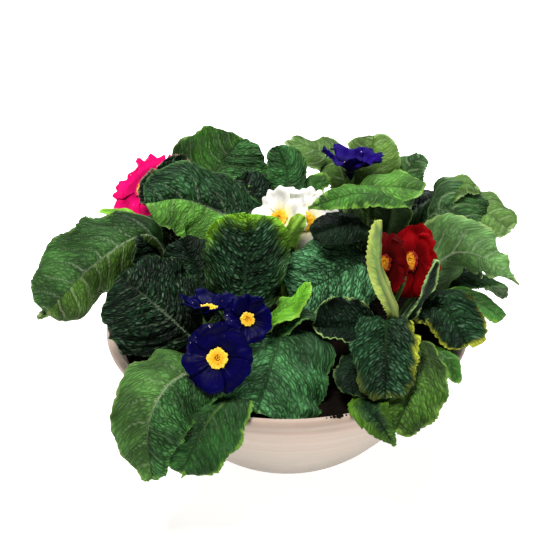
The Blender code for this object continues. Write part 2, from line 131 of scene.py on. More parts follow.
LEAVES = {
    "pink": [
        Leaf([(-94, 38, 133), (-130, 14, 126), (-166, -6, 97)], 66, -42, (-30, -90), (0, -15), 0.3,
             look="olive", other="smooth"),
        Leaf([(-66, 52, 130), (-78, 66, 150), (-93, 79, 165)], 52, -40, (5, -10), (5, 10), tip=0.25,
             look="edged"),
        Leaf([(-58, 74, 136), (-47, 98, 160), (-32, 116, 172)], 80, 0, (10, -15), (10, -60), 0.42,
             look="shine", other="mid", rim=(0.3, 1, 0.5)),
        Leaf([(-110, 46, 142), (-131, 52, 146)], 16, look="lime"),
        Leaf([(-95, 72, 108), (-116, 106, 100), (-126, 132, 74)], 52),
        Leaf([(-75, 95, 125), (-82, 130, 115), (-86, 155, 78)], 52, look="dark"),
        Leaf([(-104, 38, 106), (-136, 18, 101), (-172, -7, 93)], 12, look="olive"),
        Leaf([(-90, 42, 112), (-103, 40, 136)], 64, look="shaded", rim=(0, 0, 0)),
    ],
    "white": [
        Leaf([(-21, 40, 129), (-66, 36, 162), (-96, 20, 168)], 66, -34, (0, -35), (0, -15), 0.12, 0.45,
             look="light", other="veined"),
        Leaf([(1, 83, 152), (-7, 96, 175)], 31, rim=(0.2, 1, 0.5)),
        Leaf([(-20, 67, 142), (-33, 78, 160)], 38, look="dark"),
        Leaf([(-22, 72, 143), (-25, 76, 154)], 16, look="bright"),
        Leaf([(-4, 12, 128), (3, 5, 154), (11, 7, 166)], 17, look="lit_lime"),
        Leaf([(16, 84, 141), (31, 90, 152)], 20, look="bright"),
        Leaf([(-20, 95, 131), (-22, 130, 126), (-24, 158, 88)], 54),
        Leaf([(18, 95, 118), (26, 130, 106), (28, 156, 66)], 50, look="dark"),
    ],
    "blue": [
        Leaf([(-71, -52, 114), (-93, -47, 134), (-113, -31, 141)], 76, -40, (-5, -20), (-5, -20), 0.3, 0.48,
             look="dark"),
        Leaf([(-53, -84, 104), (-76, -112, 107), (-88, -134, 90), (-86, -146, 58)], 57, -18, (6, -24),
             (6, -24), 0.1, 0.6, other="dull"),
        Leaf([(-35, -98, 94), (-50, -127, 91), (-68, -142, 60)], 50, stalk=0.4, tip=0.5, look="under"),
        Leaf([(-7, -62, 113), (-11, -88, 105), (-20, -115, 88)], 84, 0, (12, -24), (12, -24), 0.25,
             look="lit"),
        Leaf([(-28, -15, 136), (-27, 8, 166)], 60, 0, (10, 0), (10, 0), look="limed", rim=(0.05, 0.05, 1)),
        Leaf([(-9, -54, 124), (4, -52, 132), (14, -45, 144)], 30, stalk=0.4, look="lime"),
        Leaf([(2, -55, 121), (17, -50, 125)], 24),
        Leaf([(-55, -12, 114), (-72, 10, 147)], 46, look="shaded", rim=(0, 0, 0)),
    ],
    "violet": [
        Leaf([(55, 22, 122), (33, -2, 124), (3, -25, 120)], 60, -40, (0, -25), (0, -15), look="soft"),
        Leaf([(40, 108, 149), (21, 114, 163), (2, 122, 167)], 34, stalk=0.4, look="hazy"),
        Leaf([(62, 108, 152), (64, 126, 169)], 44, look="hazy"),
        Leaf([(86, 106, 145), (100, 118, 157)], 30, look="grey"),
        Leaf([(47, 56, 154), (68, 48, 167), (94, 40, 168)], 42, 10, stalk=0.25, look="light"),
        Leaf([(74, 34, 157), (50, 20, 176), (14, 14, 168)], 34, -10, stalk=0.3, tip=0.85, look="bright"),
        Leaf([(53, 26, 148), (36, 14, 154), (17, 7, 151)], 30, -20, look="shaded", rim=(0, 0, 0)),
        Leaf([(98, 42, 145), (117, 42, 150), (136, 34, 132)], 50, 32, stalk=0.45, look="grey"),
        Leaf([(116, 60, 158), (136, 58, 159)], 28, 10, look="hazy"),
        Leaf([(110, 60, 140), (137, 52, 145), (156, 38, 138)], 40, 25, stalk=0.5, look="hazy"),
        Leaf([(64, 110, 126), (76, 142, 112), (82, 164, 76)], 52),
        Leaf([(95, 100, 121), (120, 125, 116), (138, 142, 84)], 52, look="dark"),
    ],
    "red": [
        Leaf([(104, 8, 128), (129, -4, 141), (157, -15, 124)], 60, 42, (0, -15), (-50, -100), 0.3, 1.25,
             look="pale"),
        Leaf([(70, -62, 130), (59, -56, 160), (59, -46, 190)], 16, 0, (70, 90), (15, -10), 0.36, look="cup"),
        Leaf([(85, -18, 102), (105, -28, 114), (121, -46, 95)], 42, 30, (12, -20), (22, 0), 0.3,
             look="rimmed", rim=(0.1, 0.9, 0.9)),
        Leaf([(116, 0, 106), (133, 0, 101), (149, -6, 92)], 24, 15, stalk=0.5, look="bright"),
        Leaf([(64, -58, 124), (63, -87, 118), (62, -112, 97)], 45, look="gold", rim=(1, 0, 0.1)),
        Leaf([(84, -52, 104), (84, -88, 102), (68, -124, 80)], 44, stalk=0.35, look="warm"),
        Leaf([(51, -108, 92), (57, -124, 89), (67, -138, 79)], 26, stalk=0.55, tip=0.8, look="limed",
             rim=(0.3, 0.4, 0.2)),
        Leaf([(101, -55, 96), (114, -72, 83)], 16, look="bright"),
        Leaf([(56, -42, 103), (38, -48, 110), (17, -54, 116)], 42, -36, (25, 40), (20, 30), look="shaded"),
        Leaf([(52, -74, 100), (42, -102, 93)], 38, look="shaded", rim=(0.3, 0.3, 0.3)),
        Leaf([(115, 30, 105), (138, 45, 98), (146, 62, 76)], 44),
        Leaf([(80, -50, 120), (90, -54, 141), (96, -50, 163)], 13, 180, (20, 0), (20, 0), look="shaded"),
    ],
}

# One bloom: its plant, the middle of its eye, the way it faces, the radius to its petal
# tips, how many degrees its petals rise and how light they are, below 1 for a bloom
# painted darker as shade
Bloom = namedtuple("Bloom", "plant place facing radius cup tone")
Bloom.__new__.__defaults__ = (1.0,)

BLOOMS = {
    "pink_1": Bloom("pink", (-102, 99, 139), (-0.57, -0.34, 0.76), 30, 6),
    "blue_1": Bloom("blue", (-44, -102, 121), (-0.2, -0.82, 0.5), 24, 15),
    "blue_2": Bloom("blue", (-27, -72, 131), (0.3, -0.7, 0.6), 18, 24),
    "blue_3": Bloom("blue", (-52, -55, 125), (0.05, 0.22, 1.0), 23, 34),
    "white_1": Bloom("white", (-4, 37, 146), (-0.6, -0.5, 0.6), 25, 12),
    "white_2": Bloom("white", (13, 60, 132), (0.1, -0.78, 0.55), 25, 4),
    "violet_1": Bloom("violet", (45, 80, 161), (0.1, 0.2, 0.98), 28, 38),
    # Painted shade: red_1 lies behind red_2, and its petals are painted darker
    "red_1": Bloom("red", (66, -38, 154), (-0.78, -0.52, 0.34), 21, 12, 0.35),
    "red_2": Bloom("red", (85, -13, 141), (-0.84, -0.46, 0.35), 26, 7),
}

# How a kind of leaf looks: the colour of its blade, of its veins and of its margin, how
# wide the margin's colour runs, how deep its wrinkles are, how many vein pairs it has
# and how clearly the veins beside the midrib show.
Look = namedtuple("Look", "blade vein margin margin_width relief pairs lateral")

LOOKS = {
    "dark": Look((0.0028, 0.014, 0.0046), (0.32, 0.44, 0.26), (0.02, 0.06, 0.015), 0.9, 1.3, 8, 0.12),
    "edged": Look((0.0036, 0.0175, 0.0058), (0.1, 0.2, 0.08), (0.26, 0.2, 0.12), 0.8, 1.3, 8, 0.12),
    "soft": Look((0.045, 0.152, 0.056), (0.05, 0.13, 0.05), (0.06, 0.14, 0.04), 0.9, 1.2, 8, 0.1),
    "shaded": Look((0.0025, 0.011, 0.004), (0.03, 0.08, 0.03), (0.26, 0.42, 0.13), 0.8, 0.85, 8, 0.1),
    "veined": Look((0.008, 0.036, 0.01), (0.46, 0.58, 0.38), (0.06, 0.15, 0.04), 1.0, 1.1, 8, 0.16),
    "smooth": Look((0.027, 0.082, 0.018), (0.44, 0.56, 0.34), (0.08, 0.16, 0.04), 1.0, 0.5, 8, 0.16),
    "dull": Look((0.043, 0.112, 0.022), (0.44, 0.56, 0.32), (0.12, 0.2, 0.05), 1.1, 0.45, 9, 0.14),
    "mid": Look((0.022, 0.078, 0.018), (0.22, 0.36, 0.15), (0.08, 0.2, 0.04), 1.1, 0.9, 8, 0.16),
    "under": Look((0.015, 0.062, 0.013), (0.16, 0.3, 0.09), (0.12, 0.26, 0.03), 1.4, 0.5, 8, 0.12),
    "warm": Look((0.036, 0.092, 0.012), (0.16, 0.3, 0.09), (0.14, 0.26, 0.04), 1.4, 0.7, 8, 0.12),
    "lit": Look((0.031, 0.1, 0.028), (0.08, 0.18, 0.07), (0.06, 0.17, 0.04), 1.1, 0.8, 9, 0.1),
    "shine": Look((0.01, 0.043, 0.0015), (0.16, 0.3, 0.09), (0.14, 0.28, 0.04), 1.4, 0.5, 8, 0.16),
    "bright": Look((0.026, 0.095, 0.012), (0.16, 0.3, 0.09), (0.14, 0.3, 0.04), 1.4, 0.6, 8, 0.2),
    "light": Look((0.053, 0.157, 0.021), (0.22, 0.4, 0.12), (0.16, 0.32, 0.06), 1.3, 0.45, 8, 0.22),
    "pale": Look((0.09, 0.18, 0.057), (0.46, 0.58, 0.36), (0.2, 0.32, 0.1), 1.3, 0.3, 7, 0.16),
    "hazy": Look((0.05, 0.105, 0.018), (0.26, 0.4, 0.16), (0.2, 0.32, 0.1), 1.2, 0.3, 7, 0.25),
    "grey": Look((0.031, 0.085, 0.021), (0.2, 0.32, 0.14), (0.09, 0.18, 0.06), 1.0, 0.5, 7, 0.3),
    "olive": Look((0.05, 0.118, 0.019), (0.44, 0.56, 0.3), (0.14, 0.2, 0.06), 1.2, 0.45, 9, 0.22),
    "lime": Look((0.085, 0.24, 0.014), (0.16, 0.36, 0.05), (0.2, 0.42, 0.04), 1.5, 0.5, 6, 0.2),
    # Painted light: a copy of the lime look made brighter for a leaf curl that faces up into the light
    "lit_lime": Look((0.24, 0.48, 0.02), (0.4, 0.66, 0.08), (0.46, 0.7, 0.06), 1.5, 0.4, 6, 0.2),
    "limed": Look((0.0065, 0.027, 0.009), (0.05, 0.13, 0.05), (0.19, 0.44, 0.02), 5.5, 1.3, 8, 0.1),
    "gold": Look((0.008, 0.034, 0.0105), (0.06, 0.14, 0.04), (0.5, 0.55, 0.04), 3.0, 1.2, 8, 0.12),
    "rimmed": Look((0.0075, 0.032, 0.0095), (0.06, 0.14, 0.04), (0.42, 0.46, 0.04), 1.6, 1.2, 8, 0.12),
    "stalk": Look((0.1, 0.2, 0.05), (0.2, 0.3, 0.1), (0.2, 0.3, 0.1), 1.0, 0.0, 8, 0.0),
    "calyx": Look((0.13, 0.26, 0.06), (0.2, 0.3, 0.1), (0.2, 0.3, 0.1), 1.0, 0.0, 8, 0.0),
    "cup": Look((0.15, 0.24, 0.03), (0.36, 0.44, 0.12), (0.36, 0.44, 0.07), 4.0, 0.4, 8, 0.2),
}


# Mesh tools


class Body:
    """Points, faces and values at the points, gathered for one piece."""

    def __init__(self):
        self.points = []
        self.faces = []
        self.values = {}
        self.count = 0

    def add(self, points, faces, **values):
        points = np.asarray(points, float).reshape(-1, 3)
        self.points.append(points)
        self.faces += [tuple(index + self.count for index in face) for face in faces]
        for name, value in values.items():
            value = np.asarray(value, float)
            size = value.shape[-1] if value.ndim and value.shape[-1] == 3 else 1
            spread = np.broadcast_to(value.reshape(-1, size), (len(points), size))
            self.values.setdefault(name, []).append(spread)
        self.count += len(points)

    def build(self, name, finish, sharp=55):
        mesh = bpy.data.meshes.new(name)
        points = np.concatenate(self.points) * MM
        mesh.from_pydata(points.tolist(), [], self.faces)
        for key, chunks in self.values.items():
            data = np.concatenate(chunks)
            kind, field = "FLOAT", "value"
            if data.shape[1] == 3:
                kind, field = "FLOAT_COLOR", "color"
                data = np.concatenate([data, np.ones((len(data), 1))], axis=1)
            mesh.attributes.new(key, kind, "POINT").data.foreach_set(field, data.ravel())
        mesh.shade_smooth()
        mesh.set_sharp_from_angle(angle=math.radians(sharp))
        mesh.materials.append(finish)
        return add_object(name, mesh)


def add_object(name, data):
    item = bpy.data.objects.new(name, data)
    bpy.context.scene.collection.objects.link(item)
    return item


def unit(vector):
    return vector / np.maximum(np.linalg.norm(vector, axis=-1, keepdims=True), 1e-9)


def smoothstep(low, high, value):
    share = np.clip((value - low) / (high - low), 0, 1)
    return share * share * (3 - 2 * share)


def spot(distance, width):
    """1 at no distance, falling off softly over the width."""
    return np.exp(-((distance / width) ** 2))


def scatter(a, b, seed):
    """A steady number from 0 to 1 for each pair of whole numbers."""
    return np.modf(np.abs(np.sin(a * 127.1 + b * 311.7 + seed * 74.7) * 43758.5453))[0]


def cells(a, b, seed):
    """Distance from each place to the nearest of a net of scattered cell middles."""
    jitter = 0.36
    base_a, base_b = np.floor(a), np.floor(b)
    nearest = np.full(a.shape, 9.0)
    for da in (-1, 0, 1):
        for db in (-1, 0, 1):
            ca, cb = base_a + da, base_b + db
            off_a = 0.5 + jitter * (2 * scatter(ca, cb, seed) - 1)
            off_b = 0.5 + jitter * (2 * scatter(ca, cb, seed + 3.1) - 1)
            nearest = np.minimum(nearest, np.hypot(ca + off_a - a, cb + off_b - b))
    return nearest


def ripple(x, y, rng, wavelength, waves=6):
    """Smooth random unevenness, about -1 to 1."""
    total = np.zeros(np.broadcast(x, y).shape)
    for _ in range(waves):
        turn = rng.uniform(0, 2 * math.pi)
        pace = 2 * math.pi / (wavelength * rng.uniform(0.7, 1.5))
        total = total + np.sin(pace * (x * math.cos(turn) + y * math.sin(turn)) + rng.uniform(0, 6.3))
    return total / math.sqrt(waves)


def circle(count):
    """Angles spread evenly round a circle."""
    return np.linspace(0, 2 * math.pi, count, endpoint=False)


def grid_normal(grid):
    return unit(np.cross(np.gradient(grid, axis=0), np.gradient(grid, axis=1)))


def shell_faces(rows, columns):
    """Faces of a closed sheet: its upper grid, its lower grid and the rim between them."""
    count = rows * columns
    faces = []
    for i in range(rows - 1):
        for j in range(columns - 1):
            a = i * columns + j
            b, c, d = a + 1, a + columns + 1, a + columns
            faces.append((a, d, c, b))
            faces.append((count + a, count + b, count + c, count + d))
    border = list(range(columns))
    border += [i * columns + columns - 1 for i in range(1, rows)]
    border += [(rows - 1) * columns + j for j in range(columns - 2, -1, -1)]
    border += [i * columns for i in range(rows - 2, 0, -1)]
    for a, b in zip(border, border[1:] + border[:1]):
        faces.append((a, b, count + b, count + a))
    return faces


def add_sheet(body, grid, thickness, **values):
    """A closed sheet round a grid of places; it is as thick as told at each place."""
    rows, columns = grid.shape[:2]
    normal = grid_normal(grid)
    half = np.asarray(thickness, float) / 2
    half = np.broadcast_to(half, (rows, columns))[..., None]
    points = np.concatenate([(grid + normal * half).reshape(-1, 3), (grid - normal * half).reshape(-1, 3)])
    doubled = {}
    for name, value in values.items():
        value = np.asarray(value, float)
        if value.shape[:2] == (rows, columns):
            value = value.reshape(rows * columns, -1)
            value = np.concatenate([value, value])
        doubled[name] = value
    under = np.repeat([0.0, 1.0], rows * columns)
    body.add(points, shell_faces(rows, columns), under=under, **doubled)


def loft(rings):
    """Points and faces of a closed row of rings; the first and the last are capped."""
    count, sides = rings.shape[:2]
    faces = []
    for k in range(count - 1):
        for s in range(sides):
            a, b = k * sides + s, k * sides + (s + 1) % sides
            faces.append((a, b, b + sides, a + sides))
    faces.append(tuple(reversed(range(sides))))
    faces.append(tuple(range((count - 1) * sides, count * sides)))
    return rings.reshape(-1, 3), faces


def tube(path, radii, sides):
    """Points and faces of a closed round stem along a path."""
    path = np.array(path, float)
    ahead = unit(np.gradient(path, axis=0))
    side = unit(np.cross(ahead, (0.31, 0.22, 0.1)))
    other = np.cross(ahead, side)
    turns = circle(sides)
    ring = side[:, None] * np.cos(turns)[None, :, None] + other[:, None] * np.sin(turns)[None, :, None]
    return loft(path[:, None] + np.asarray(radii, float)[:, None, None] * ring)


# The form of a leaf, as in the part


def smooth_path(places, count):
    """Points at shares of the length of a smooth curve through the places."""
    knots = [np.array(place, float) for place in places]
    knots = [2 * knots[0] - knots[1]] + knots + [2 * knots[-1] - knots[-2]]
    fine = []
    for p0, p1, p2, p3 in zip(knots, knots[1:], knots[2:], knots[3:]):
        t = np.linspace(0, 1, 60)[:, None]
        line = 2 * p1 + (p2 - p0) * t + (2 * p0 - 5 * p1 + 4 * p2 - p3) * t**2
        fine.append(0.5 * (line + (3 * p1 - p0 - 3 * p2 + p3) * t**3))
    points = np.concatenate(fine)
    for _ in range(60):
        points[1:-1] = (points[:-2] + 2 * points[1:-1] + points[2:]) / 4
    steps = np.linalg.norm(np.diff(points, axis=0), axis=1)
    along = np.concatenate([[0], np.cumsum(steps)])
    wanted = count * along[-1]
    return np.stack([np.interp(wanted, along, points[:, axis]) for axis in range(3)], 1)


def half_width(along, stalk, fall):
    """The outline of a primrose leaf: a slim stalk and a broad round blade, 1 at its widest."""
    share = np.clip((along - stalk) / (1 - stalk), 0, 1)
    rise = 0.55
    peak = (rise / (rise + fall)) ** rise * (fall / (rise + fall)) ** fall
    return share**rise * (1 - share) ** fall / peak


def bent(across, inner, outer):
    """A strip that starts at one angle and bends evenly to another: its reach and its rise."""
    bend = outer - inner
    bend = np.where(np.abs(bend) < 1e-3, 1e-3, bend)
    reach = (np.sin(inner + bend * across) - np.sin(inner)) / bend
    rise = -(np.cos(inner + bend * across) - np.cos(inner)) / bend
    return reach, rise


def leaf_spine(leaf, crown, along):
    towards = unit(np.array(leaf.path[0][:2], float) - crown)
    start = np.array((*(crown + STALK_RING * towards), SOIL_HEIGHT + 4))
    return smooth_path([start] + list(leaf.path), along)


def blade_half(leaf, along):
    wide = half_width(along, leaf.stalk, leaf.tip) * leaf.width / 2
    least = np.where(along < 0.9, 1.2 + 1.8 * np.clip(along / 0.12, 0, 1), 1.5)
    return np.maximum(wide, least)


def leaf_surface(leaf, crown, along, across):
    """Places on the middle surface of a leaf, along from 0 to 1 and across from -1 to 1."""
    spine = leaf_spine(leaf, crown, along)
    ahead = unit(np.gradient(spine, axis=0))
    middle, tip = (np.array(leaf.path[k][:2], float) - crown for k in (len(leaf.path) // 2, -1))
    heading = unit(tip + 0.5 * middle)
    side = np.array((-heading[1], heading[0], 0))
    side = unit(side - (ahead @ side)[:, None] * ahead)
    up = np.cross(ahead, side)
    roll = math.radians(leaf.roll)
    side, up = side * math.cos(roll) + up * math.sin(roll), up * math.cos(roll) - side * math.sin(roll)
    wide = blade_half(leaf, along)[:, None]
    opened = np.clip(along / leaf.stalk, 0, 1)[:, None]
    left = across > 0
    inner = np.radians(np.where(left, leaf.left[0], leaf.right[0])) * opened
    outer = np.where(left, leaf.left[1], leaf.right[1])
    phase = leaf.width + np.where(left, 1.9, 0)
    outer = outer + MARGIN_SWING_DEGREES * np.sin(2 * math.pi * MARGIN_SWINGS * along[:, None] + phase)
    outer = np.radians(outer) * opened
    reach, rise = bent(np.abs(across), inner, outer)
    flat = (np.sign(across) * reach * wide)[..., None] * side[:, None, :]
    return spine[:, None, :] + flat + (rise * wide)[..., None] * up[:, None, :]


# The fine form of a leaf: teeth, veins and the wrinkled skin between them


def add_leaf(body, leaf, crown, seed):
    """One leaf as a thin closed sheet, with the values that its skin is coloured from."""
    looks = LOOKS[leaf.look], LOOKS[leaf.other or leaf.look]
    rng = np.random.default_rng(seed)
    spine = leaf_spine(leaf, crown, np.linspace(0, 1, 40))
    length = np.linalg.norm(np.diff(spine, axis=0), axis=1).sum()
    blade_length = length * (1 - leaf.stalk)
    blade_rows = int(np.clip(blade_length / LEAF_STEP, *LEAF_ROWS))
    columns = 2 * int(np.clip(leaf.width / LEAF_STEP / 2.3, *LEAF_HALF_COLUMNS)) + 1
    first = leaf.stalk * 0.75
    share = 1 - (1 - np.linspace(0, 1, blade_rows)) ** 1.15
    along = np.concatenate([np.linspace(0, first, STALK_ROWS, endpoint=False), first + (1 - first) * share])
    rows = len(along)
    across = np.linspace(-1, 1, columns)
    across = np.sign(across) * np.abs(across) ** 1.06
    blade = smoothstep(leaf.stalk * 0.6, leaf.stalk + 0.12, along)[:, None]
    s = (along * length)[:, None]
    half = blade_half(leaf, along)[:, None]
    w = across[None, :] * half
    reach = np.abs(w)
    side = np.sign(w)
    left = (across > 0)[None, :]

    def halves(field):
        """A value of the leaf's looks, each look's own on its half of the leaf."""
        value = np.where(left[..., None], *(getattr(look, field) for look in looks))
        return value if value.shape[-1] == 3 else value[..., 0]

    # Toothed, waving margin
    beat = s / TOOTH_SPACING + 0.5 * ripple(s, side * 40, rng, 16) + 0.37 * side
    notch = np.abs(np.modf(np.abs(beat))[0] - 0.5) * 2
    depth = TOOTH_DEPTH * (0.65 + 0.45 * ripple(s, side * 30, rng, 9))
    lobe = ripple(s, side * 40, rng, 22) * 0.045
    swell = 1 + blade * (lobe + (notch - 0.5) * depth / np.maximum(half, 4) * np.abs(across) ** 9)
    grid = leaf_surface(leaf, crown, along, across * swell)

    # Veins, and the skin that stands up between them
    relief = halves("relief") * min(1.0, leaf.width / 45)
    spacing = blade_length / halves("pairs")
    curve = s - 0.42 * reach - 0.4 * reach**2 / (leaf.width / 2)
    beat = curve / spacing + 0.28 * side + 0.13 * ripple(s, w, rng, BLADE_WAVE)
    to_lateral = np.abs(beat - np.round(beat)) * spacing * 0.85
    lateral = spot(to_lateral, VEIN_WIDTH) * smoothstep(1.0, 3.0, half) * (1 - 0.65 * np.abs(across) ** 2)
    rib = spot(reach, 0.75 + 0.5 * (1 - along[:, None]))
    dome = smoothstep(0.0, 0.4, to_lateral / spacing) * (1 - spot(reach, 2.6))
    calm = blade * smoothstep(0.0, 0.06, 1 - np.abs(across)[None, :] * 0.96)
    wrinkles = ripple(beat * spacing, 0.45 * reach, rng, WRINKLE_LENGTH, 9)
    height = relief * (1.5 * dome - 0.7 + 0.35 * wrinkles) * calm
    height = height - 0.7 * spot(reach, 2.2) * blade
    height = height + 1.3 * ripple(s, w, rng, BLADE_WAVE) * blade * smoothstep(0.1, 0.9, np.abs(across))
    frill = ripple(s, side * 40, rng, 17) * np.abs(across) ** 3
    height = height + 0.045 * np.minimum(leaf.width, 60) * frill * blade
    normal = grid_normal(grid)
    grid = grid + normal * height[..., None]

    # The midrib stands out below
    ridge = (2.4 - 1.7 * along[:, None]) * spot(w, 1.5)
    thick = BLADE_THICKNESS + ridge + 0.35 * lateral
    grid = grid - normal * (ridge[..., None] * 0.4)

    # Values for the colours
    shade = 0.5 + 0.5 * ripple(s, w, rng, 30)
    rim = np.where(left, leaf.rim[0], leaf.rim[1])
    rim = rim + (leaf.rim[2] - rim) * smoothstep(0.72, 0.93, along)[:, None]
    tip_gap = (1 - along[:, None]) * length
    to_edge = np.minimum((1 - np.abs(across))[None, :] * half, 0.8 * tip_gap + 0.25 * reach)
    to_edge = np.maximum(to_edge + 1.1 * ripple(s, w, rng, 8), 0)
    margin = rim * spot(to_edge, halves("margin_width")) * blade
    fade = 1 - 0.8 * smoothstep(0.55, 0.9, along)[:, None]
    vein = np.clip(np.maximum(0.95 * rib * fade, halves("lateral") * 2 * lateral), 0, 1)
    tone = rng.uniform(0.86, 1.18)
    warmth = np.array((rng.uniform(0.88, 1.12), 1.0, rng.uniform(0.85, 1.15)))
    # Painted shade: the blade is darkened towards its stalk, where the leaves' bases lie in shade inside the
    # rosette
    painted_base_shade = 0.3 + 0.75 * smoothstep(leaf.stalk * 0.5, leaf.stalk + 0.45, along)[:, None, None]
    skin = np.stack(np.broadcast_arrays(beat * spacing, reach + 0.0 * s, seed * 3.7 + 5.0 * side), -1)
    spread = np.ones((rows, columns, 3))
    add_sheet(
        body, grid, thick,
        blade=spread * halves("blade") * tone * warmth * painted_base_shade,
        vein_colour=spread * halves("vein"), margin_colour=spread * halves("margin"),
        skin=skin, relief=spread[..., 0] * relief * blade, vein=vein, dome=dome, margin=margin, shade=shade,
    )


# Stems and blooms


def bloom_frame(bloom):
    """The middle of a bloom's eye, the way it faces and two directions across that."""
    facing = unit(np.array(bloom.facing, float))
    side = unit(np.cross(facing, (0.13, 0.21, 1.0)))
    return np.array(bloom.place, float), facing, side, np.cross(facing, side)


def add_stem(body, bloom, crown, seed):
    """The flower stalk and the pleated calyx with five pointed teeth under the bloom."""
    head, facing, side, other = bloom_frame(bloom)
    far = head - facing * 15 - np.array((0, 0, 12))
    start = np.array((crown[0], crown[1], SOIL_HEIGHT + 4), float)
    middle = start * 0.5 + far * 0.5 + np.array((0, 0, 4))
    path = smooth_path([start, middle, far, head - facing * 12], np.linspace(0, 1, STEM_ROWS))
    body.add(*tube(path, np.linspace(1.7, 1.4, STEM_ROWS), 10), **plain_leaf("stalk", 0.3))
    turns = circle(CALYX_SIDES)
    pleat = np.cos(PETALS * turns)
    teeth = np.abs(np.modf(PETALS * turns / (2 * math.pi) + 0.5)[0] - 0.5) * 2
    # The calyx's rings: how far behind the eye each is, and how wide
    depths = (14.5, 14.0, 13.0, 11.0, 8.5, 6.5, 5.0)
    radii = (0.6, 2.0, 2.7, 3.1, 3.3, 3.4, 3.9)
    rings = []
    for depth, radius in zip(depths, radii):
        open_share = smoothstep(8.0, 5.0, depth)
        reach = radius * (1 + 0.13 * pleat)
        back = depth - 3.6 * open_share * (1 - teeth)
        rings.append(reach[:, None] * (np.cos(turns)[:, None] * side + np.sin(turns)[:, None] * other)
                     - back[:, None] * facing + head)
    outer = np.array(rings)
    inner = outer[::-1] + (head - facing * 9 - outer[::-1]) * 0.16
    body.add(*loft(np.concatenate([outer, inner])), **plain_leaf("calyx", 0.5))


def plain_leaf(name, shade):
    """The values of a leaf's skin for parts without veins."""
    look = LOOKS[name]
    return dict(
        blade=look.blade, vein_colour=look.vein, margin_colour=look.margin,
        skin=(0.0, 0.0, 0.0), relief=0.0, vein=0.0, dome=0.6, margin=0.0, shade=shade, under=0.0,
    )


# How a kind of bloom looks: its colour, the colour near its eye, the colour of its streaks,
# how deep its ruffles are in millimetres, how deeply its edge is scalloped, how much of
# it is speckled and the roughness of its skin.
Dress = namedtuple("Dress", "colour heart streak ruffle scallop specks rough")

DRESSES = {
    "pink": Dress((0.52, 0.001, 0.082), (0.36, 0.0, 0.06), (0.72, 0.01, 0.19), 1.9, 0.09, 0.5, 0.6),
    "blue": Dress((0.0006, 0.0002, 0.028), (0.0004, 0.0002, 0.008), (0.0012, 0.0004, 0.06), 0.9, 0.02,
                  0.1, 0.45),
    "white": Dress((0.77, 0.755, 0.71), (0.79, 0.7, 0.3), (0.81, 0.8, 0.77), 1.5, 0.05, 0.0, 0.6),
    "violet": Dress((0.007, 0.0015, 0.085), (0.003, 0.001, 0.03), (0.011, 0.003, 0.15), 2.2, 0.06, 0.1, 0.6),
    "red": Dress((0.16, 0.0008, 0.002), (0.035, 0.0006, 0.0012), (0.3, 0.002, 0.005), 1.3, 0.035, 0.0, 0.6),
}


def petal_form(bloom, number, along, across):
    """Places on one petal as in the part: narrow at the tube, broad and notched at its tip."""
    head, facing, side, other = bloom_frame(bloom)
    spread = math.radians(PETAL_SPREAD_DEGREES) * (0.86 + 0.14 * np.sin(math.pi * along))
    notch = 0.07 * np.exp(-((across / 0.25) ** 2)) + 0.1 * np.abs(across) ** 4
    radius = THROAT_RADIUS + (bloom.radius * (1 - notch) - THROAT_RADIUS) * along
    turn = 2 * math.pi * number / PETALS + across * spread
    height = math.sin(math.radians(bloom.cup)) * radius
    height = height + 2.2 * across * along + 0.6 * np.sin(5 * across + number) * along**2
    height = height - 3.0 * along**3
    radius = math.cos(math.radians(bloom.cup)) * radius
    flat = radius * np.cos(turn), radius * np.sin(turn)
    grid = head + flat[0][..., None] * side + flat[1][..., None] * other
    return grid + height[..., None] * facing


def petals(name, bloom, finish, seed):
    """The five ruffled petals of a bloom and the tube behind them."""
    dress = DRESSES[bloom.plant]
    head, facing = bloom_frame(bloom)[:2]
    body = Body()
    for number in range(PETALS):
        rng = np.random.default_rng(seed * 10 + number)
        along = (np.linspace(0, 1, PETAL_ROWS) ** 0.85)[:, None]
        across = np.linspace(-1, 1, PETAL_COLUMNS)[None, :]
        arc = across * 12
        scallop = 1 + dress.scallop * ripple(arc, 0 * arc, rng, 4.2) * along**5
        grid = petal_form(bloom, number, along, across)
        middle = head + facing * 1.5
        grid = middle + (grid - middle) * scallop[..., None]
        x, y = along * bloom.radius, arc * along
        lift = dress.ruffle * ripple(x, y, rng, 15) * smoothstep(0.25, 1.0, along)
        lift = lift + 0.55 * dress.ruffle * ripple(x * 0.3, y, rng, 6.0) * along**3
        crease = -0.9 * spot(across, 0.12) * along * (1.1 - along)
        pleats = 0.1 * np.sin(across * 26 + 3 * rng.uniform(0, 1)) * smoothstep(0.1, 0.5, along)
        grid = grid + grid_normal(grid) * (lift + crease + pleats)[..., None]
        streak = 0.5 + 0.5 * np.sin(across * 34 + 2.2 * ripple(x, y * 3, rng, 14))
        streak = streak * (0.6 + 0.4 * ripple(x, y, rng, 9))
        add_sheet(
            body, grid, PETAL_THICKNESS,
            reach=np.broadcast_to(along, streak.shape), streak=np.clip(streak, 0, 1),
            shade=0.5 + 0.5 * ripple(x, y, rng, 16), dim=bloom.tone,
        )
    depths = np.array((13.0, 9.0, 5.0, 2.0, 0.4, -0.4))
    path = head[None, :] - depths[:, None] * facing
    body.add(*tube(path, (1.5, 1.6, 1.8, 2.2, 3.0, 4.4), 20), reach=0.0, streak=0.3, shade=0.5, under=1.0,
             dim=bloom.tone)
    piece = body.build(f"corolla_{name}", finish)
    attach(piece, "root")
    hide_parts(f"petals_{name}")


